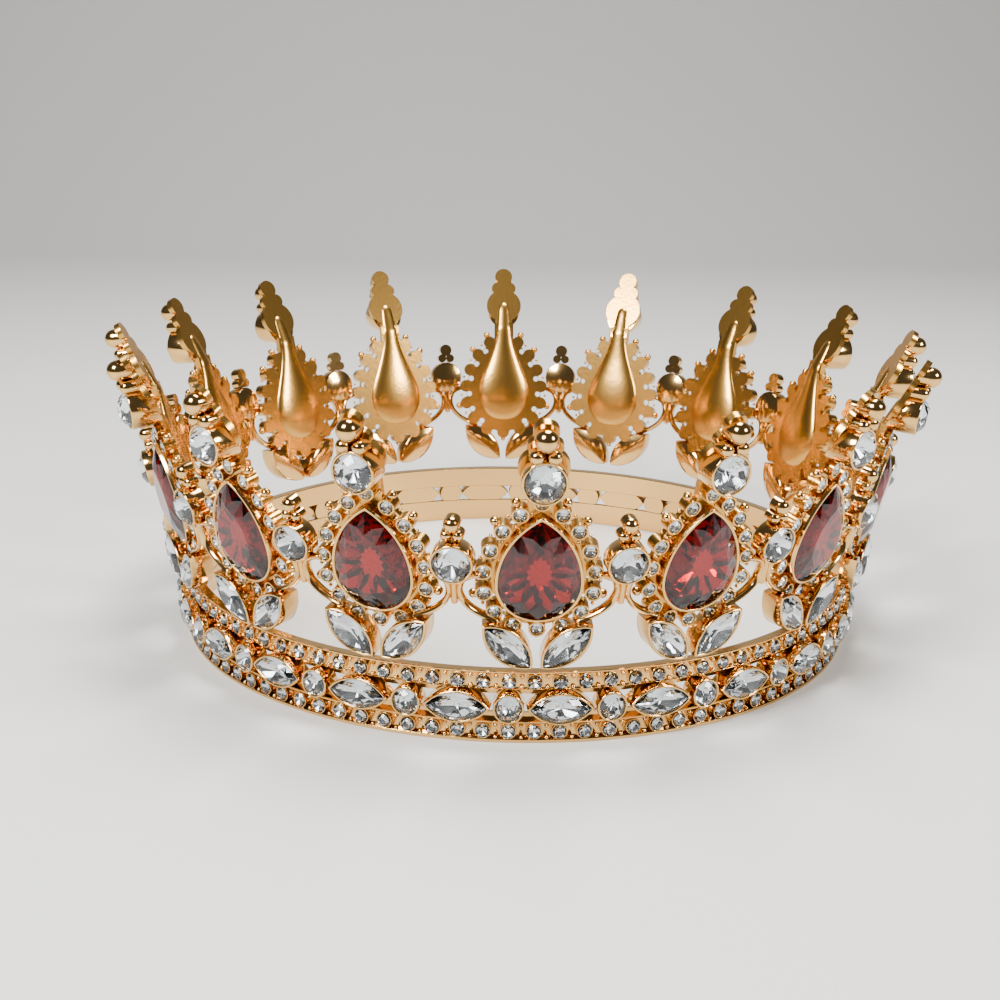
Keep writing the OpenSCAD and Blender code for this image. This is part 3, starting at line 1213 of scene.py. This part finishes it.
@dataclass
class Crests:
    """The round stone, the two fused beads and the ball at the top of each point.

    Each stands nearly level, so it faces the eye more squarely than the plate behind it does.

    Attributes:
        depth: height of the cup's rim above its foot.
        wall: thickness of the cup's wall.
        well: depth of its inside.
        girdle_in: how far the stone's girdle lies below the rim.
        cut: how the stone is cut.
        bead_x: how far each bead lies beside the middle.
        bead_d: diameter of the beads.
        bead_h: their height.
        ball_h: height of the ball.
        drum_plate: where the cup stands.
        bead_plate: where the beads stand.
        ball_plate: where the ball stands.
    """

    depth: float = 4.5
    wall: float = 0.5
    well: float = 2.3
    girdle_in: float = 0.15
    cut: Cut = Cut(sides=16, crown=1.4, table=0.55, pavilion=1.9)
    bead_x: float = 1.35
    bead_d: float = 2.35
    bead_h: float = 3.6
    ball_h: float = 3.9
    drum_plate: Plate = Plate(71.6, 47.85, 8.0)
    bead_plate: Plate = Plate(73.8, 51.75, 6.0)
    ball_plate: Plate = Plate(75.3, 54.5, 5.0)

    def build(self, finishes: Finishes) -> None:
        """Makes the cups, beads, balls and stones."""
        drum_at = spread(self.drum_plate, POINT_TURNS, HERE)
        ball_at = spread(self.ball_plate, POINT_TURNS, HERE)
        pair = [moved(x, 0) for x in (-self.bead_x, self.bead_x)]
        beads_at = spread(self.bead_plate, POINT_TURNS, pair)
        drum = cup(Round(CREST_D), self.wall, self.depth, self.depth - self.well, count=48)
        drum = seated(drum, CREST_LEAN - self.drum_plate.lean)
        finial = seated(pill(BALL_D, self.ball_h), CREST_LEAN - self.ball_plate.lean)
        bead = seated(pill(self.bead_d, self.bead_h), CREST_LEAN - self.bead_plate.lean)
        parts = [drum.copies(drum_at), finial.copies(ball_at), bead.copies(beads_at)]
        gold_piece("crest_settings", parts, finishes.polished)
        stone = cut_stone(Round(CREST_D), self.cut, self.depth - self.girdle_in)
        clear_piece("crest_stones_cut", stone.copies(drum_at), finishes, "crest_stones")


@dataclass
class Links:
    """The link between two points: a round cup, a bead row, a ball, a stem and two scrolls.

    Attributes:
        depth: height of the cup's rim.
        wall: thickness of the cup's wall.
        well: depth of its inside.
        bulge: how far its back swells.
        girdle_in: how far the stone's girdle lies below the rim.
        cut: how the stone is cut.
        scroll_w: width of the scrolls' wire.
        scroll_depth: its depth.
        scroll: centre line of the right-hand scroll, from beside the cup down and outwards.
        stem_w: width of the stem.
        stem_depth: its depth.
        stem: centre line of the stem.
        pin_z: height that the beads and the ball stand from.
        bead_x: how far each bead lies beside the middle.
        bead_up: how far the beads lie above the cup's middle.
        bead_d: diameter of the beads.
        bead_h: their height.
        ball_up: how far the ball lies above the cup's middle.
        ball_d: diameter of the ball.
        ball_h: its height.
    """

    depth: float = 3.4
    wall: float = 0.42
    well: float = 2.0
    bulge: float = 0.4
    girdle_in: float = 0.1
    cut: Cut = Cut(sides=16, crown=1.1, table=0.55, pavilion=1.6)
    scroll_w: float = 1.1
    scroll_depth: float = 1.9
    scroll: tuple[tuple[float, float, float], ...] = (
        (3.9, -1.2, 1.2), (2.6, -1.6, 1.2), (1.4, -2.4, 1.2), (0.85, -4.2, 1.2),
        (1.3, -6.1, 1.1), (2.6, -7.7, 1.0), (4.4, -8.9, 0.9), (6.6, -9.9, 0.8),
    )
    stem_w: float = 1.3
    stem_depth: float = 2.0
    stem: tuple[tuple[float, float, float], ...] = ((0, -1.5, 1.0), (0, -3.5, 1.0), (0, -6.4, 1.0))
    pin_z: float = 0.1
    bead_x: float = 0.95
    bead_up: float = 4.4
    bead_d: float = 1.9
    bead_h: float = 2.4
    ball_up: float = 6.3
    ball_d: float = 2.7
    ball_h: float = 2.8

    def build(self, finishes: Finishes) -> None:
        """Makes the metal and the stones of every link."""
        at = spread(LINK_PLATE, LINK_TURNS, HERE)
        cup_at = self.on_links((0.0, LINK_Y, 0.0))
        floor = self.depth - self.well
        setting = cup(Round(LINK_D), self.wall, self.depth, floor, count=44, bulge=self.bulge)
        right = smooth_path(self.scroll, 8)
        wires = [wire(path, self.scroll_w, self.scroll_depth) for path in (right, right * [-1, 1, 1])]
        stem = wire(smooth_path(self.stem, 8), self.stem_w, self.stem_depth)
        bead_y = LINK_Y + self.bead_up
        beads_at = self.on_links(*[(x, bead_y, self.pin_z) for x in (-self.bead_x, self.bead_x)])
        ball_at = self.on_links((0, LINK_Y + self.ball_up, self.pin_z))
        parts = [setting.copies(cup_at), *[w.copies(at) for w in wires], stem.copies(at)]
        parts += [pill(self.bead_d, self.bead_h).copies(beads_at)]
        parts += [pill(self.ball_d, self.ball_h).copies(ball_at)]
        nodes = tuple(f"link_{i:02d}" for i in range(1, POINTS + 1))
        gold_piece("link_metal", parts, finishes.polished, nodes)
        stone = cut_stone(Round(LINK_D), self.cut, self.depth - self.girdle_in)
        clear_piece("link_stones_cut", stone.copies(cup_at), finishes, "link_stones")

    @staticmethod
    def on_links(*spots: tuple[float, float, float]) -> np.ndarray:
        """The placement of each (x, y, z) spot on every link's plate."""
        return spread(LINK_PLATE, LINK_TURNS, [moved(*spot) for spot in spots])


def read_back(mesh: bmesh.types.BMesh) -> tuple[np.ndarray, np.ndarray]:
    """An edited mesh of triangles as arrays.

    Args:
        mesh: the mesh.

    Returns:
        Its (n, 3) points in millimetres and its (m, 3) triangles.
    """
    flat = bpy.data.meshes.new("scratch")
    mesh.to_mesh(flat)
    points = np.empty(len(flat.vertices) * 3)
    flat.vertices.foreach_get("co", points)
    corners = np.empty(len(flat.loops), np.int64)
    flat.loops.foreach_get("vertex_index", corners)
    bpy.data.meshes.remove(flat)
    return points.reshape(-1, 3) / MM, corners.reshape(-1, 3)


@dataclass
class PointPlates:
    """The pierced plate of each point, with the bare crest plate that the crest settings stand on.

    Attributes:
        crest_from: how far up the crest plate its settings begin.
        clear: height above the plate's outer face past which a face belongs to a setting.
        weld: distance in metres under which two points of the CAD's mesh are one.
    """

    crest_from: float = 14.3
    clear: float = 0.02
    weld: float = 1e-6

    def bare(self) -> Skin:
        """The first point's CAD mesh, merged, without what stands on its crest.

        Every face goes that lies above crest_from and rises above the plate's outer face. The
        openings that this leaves in the plate are filled again.

        Returns:
            The closed skin.
        """
        mesh = bmesh.new()
        mesh.from_mesh(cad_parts["point_01"].data)
        bmesh.ops.remove_doubles(mesh, verts=mesh.verts, dist=self.weld)
        points, faces = read_back(mesh)
        inward = np.linalg.inv(CREST_PLATE.at(0))
        spots = points @ inward[:3, :3].T + inward[:3, 3]
        high = spots[faces, 1].min(axis=1) > self.crest_from
        proud = spots[faces, 2].max(axis=1) > PLATE_T + self.clear
        mesh.faces.ensure_lookup_table()
        doomed = [mesh.faces[i] for i in np.flatnonzero(high & proud)]
        bmesh.ops.delete(mesh, geom=doomed, context="FACES")
        bmesh.ops.holes_fill(mesh, edges=[e for e in mesh.edges if e.is_boundary], sides=0)
        bmesh.ops.triangulate(mesh, faces=mesh.faces)
        bmesh.ops.recalc_face_normals(mesh, faces=mesh.faces)
        LOG.info("bare plate: %d open edges", sum(e.is_boundary for e in mesh.edges))
        points, faces = read_back(mesh)
        mesh.free()
        return Skin(points, [faces], [np.zeros(len(faces), int)])

    def build(self, finishes: Finishes) -> None:
        """Makes a plate for each point, in place of its CAD node."""
        bare = self.bare()
        for i, turn in enumerate(POINT_TURNS, 1):
            plate = bare.copies(turned("Z", turn)[None])
            # The satin gold's darker colour is painted shade on the plates
            gold_piece(f"point_plate_{i:02d}", [plate], finishes.satin_and_shade, (f"point_{i:02d}",))


# ---------------------------------------------------------------------------------------------
# Studio
# ---------------------------------------------------------------------------------------------


@dataclass(frozen=True)
class Lamp:
    """A square soft lamp that faces the crown.

    Attributes:
        name: the lamp.
        place: where it is, in millimetres.
        size: its width, in millimetres.
        power: its power, in watts.
    """

    name: str
    place: tuple[float, float, float]
    size: float
    power: float

    def build(self, aim: tuple[float, float, float]) -> None:
        """Hangs the lamp and turns it to a place on the crown."""
        data = bpy.data.lights.new(self.name, "AREA")
        data.size = self.size * MM
        data.energy = self.power
        obj = bpy.data.objects.new(self.name, data)
        obj.location = Vector(self.place) * MM
        obj.rotation_euler = (Vector(aim) - Vector(self.place)).to_track_quat("-Z", "Y").to_euler()
        bpy.context.scene.collection.objects.link(obj)


@dataclass
class Studio:
    """A pale floor that curves up behind, three soft lamps and the camera.

    Attributes:
        target: what the camera looks at, in millimetres.
        distance: how far from it the camera stands.
        azimuth: the camera's turn about the crown, in degrees.
        elevation: its height over the floor, in degrees.
        roll: its turn about its own axis, in degrees.
        lens: its focal length on a sensor of sensor_w millimetres.
        sensor_w: width of the sensor.
        near: nearest thing that it sees, in metres.
        lamps: the three lamps.
        lamp_aim: what the lamps face.
        air: colour of the room's own light.
        air_light: its strength.
        floor: paint of the floor and the wall.
        bend: radius of the curve between them.
        back: where the curve begins.
        front: where the floor ends.
        wall_top: height of the wall.
        half_width: half the width of the floor.
    """

    target: tuple[float, float, float] = (-3.32, 0.09, 22.7)
    distance: float = 323.6
    azimuth: float = -2.57
    elevation: float = 16.23
    roll: float = 1.015
    lens: float = 58.85
    sensor_w: float = 36.0
    near: float = 0.01
    lamps: tuple[Lamp, ...] = (
        Lamp("key_softbox", (-300, -330, 420), 200, 8.5),
        Lamp("fill_softbox", (420, -260, 300), 140, 3.5),
        Lamp("top_softbox", (60, 120, 520), 240, 6.0),
    )
    lamp_aim: tuple[float, float, float] = (0, 0, 25)
    air: str = "#C9CDD2"
    air_light: float = 0.14
    floor: MattPaint = MattPaint("pale_floor_paint", "#C2C0BC")
    bend: float = 300.0
    back: float = 500.0
    front: float = -1500.0
    wall_top: float = 1500.0
    half_width: float = 2200.0

    def build(self) -> None:
        """Makes the floor, the lamps, the room's light and the camera."""
        self.build_floor()
        for lamp in self.lamps:
            lamp.build(self.lamp_aim)
        world = bpy.data.worlds.new("studio_air")
        world.use_nodes = True
        light = world.node_tree.nodes["Background"].inputs
        light["Color"].default_value = linear(self.air)
        light["Strength"].default_value = self.air_light
        bpy.context.scene.world = world
        self.build_camera()

    def build_floor(self) -> None:
        """A sheet that runs flat and then rises behind in a quarter circle."""
        a = np.linspace(0, math.pi / 2, 24)
        y = np.concatenate([[self.front], self.back + self.bend * np.sin(a), [self.back + self.bend]])
        z = np.concatenate([[0.0], self.bend - self.bend * np.cos(a), [self.wall_top]])
        x = np.array([-self.half_width, self.half_width])
        points = np.stack(np.broadcast_arrays(x[None, :], y[:, None], z[:, None]), -1).reshape(-1, 3)
        i = np.arange(len(y) - 1) * 2
        faces = np.stack([i, i + 1, i + 3, i + 2], 1)
        mesh = bpy.data.meshes.new("studio_floor")
        mesh.from_pydata((points * MM).tolist(), [], faces.tolist())
        mesh.materials.append(self.floor.material())
        mesh.shade_smooth()
        obj = bpy.data.objects.new("studio_floor", mesh)
        bpy.context.scene.collection.objects.link(obj)

    def build_camera(self) -> None:
        """Stands the camera off the target along its azimuth and elevation, then rolls it."""
        az, el, roll = (math.radians(v) for v in (self.azimuth, self.elevation, self.roll))
        away = Vector((math.sin(az) * math.cos(el), -math.cos(az) * math.cos(el), math.sin(el)))
        ahead = -away
        right = ahead.cross(Vector((0, 0, 1))).normalized()
        up = right.cross(ahead)
        across = math.cos(roll) * right + math.sin(roll) * up
        upward = -math.sin(roll) * right + math.cos(roll) * up
        place = (Vector(self.target) + self.distance * away) * MM
        data = bpy.data.cameras.new("camera")
        data.lens = self.lens
        data.sensor_width = self.sensor_w
        data.clip_start = self.near
        obj = bpy.data.objects.new("camera", data)
        turn = Matrix((across, upward, away)).transposed().to_4x4()
        obj.matrix_world = Matrix.Translation(place) @ turn
        bpy.context.scene.collection.objects.link(obj)
        bpy.context.scene.camera = obj


def main() -> None:
    """Builds the crown's look in order, then the studio."""
    logging.basicConfig(level=logging.INFO, format="%(message)s")
    finishes = Finishes()
    Rail(
        "lower", "lower_rail", low=0.0, height=LOWER_H, stone_z=LOWER_STONE_Z, lip=LIP_REACH, lip_h=LIP_H,
        channel=SEAT, flange=1.15, bead_up=1.05, bead_d=0.8,
    ).build(finishes)
    Rail(
        "upper", "upper_rail", low=BAND_TOP - UPPER_H, height=UPPER_H, stone_z=UPPER_STONE_Z, lip=0.0,
        lip_h=UPPER_LIP, channel=0.25, flange=-1.15, bead_up=0.9, bead_d=0.85,
    ).build(finishes)
    RailStones().build(finishes)
    CupRow().build(finishes)
    LeafPairs().build(finishes)
    PointPlates().build(finishes)
    Drops().build(finishes)
    Crests().build(finishes)
    Links().build(finishes)
    Studio().build()


if __name__ == "__main__":
    main()
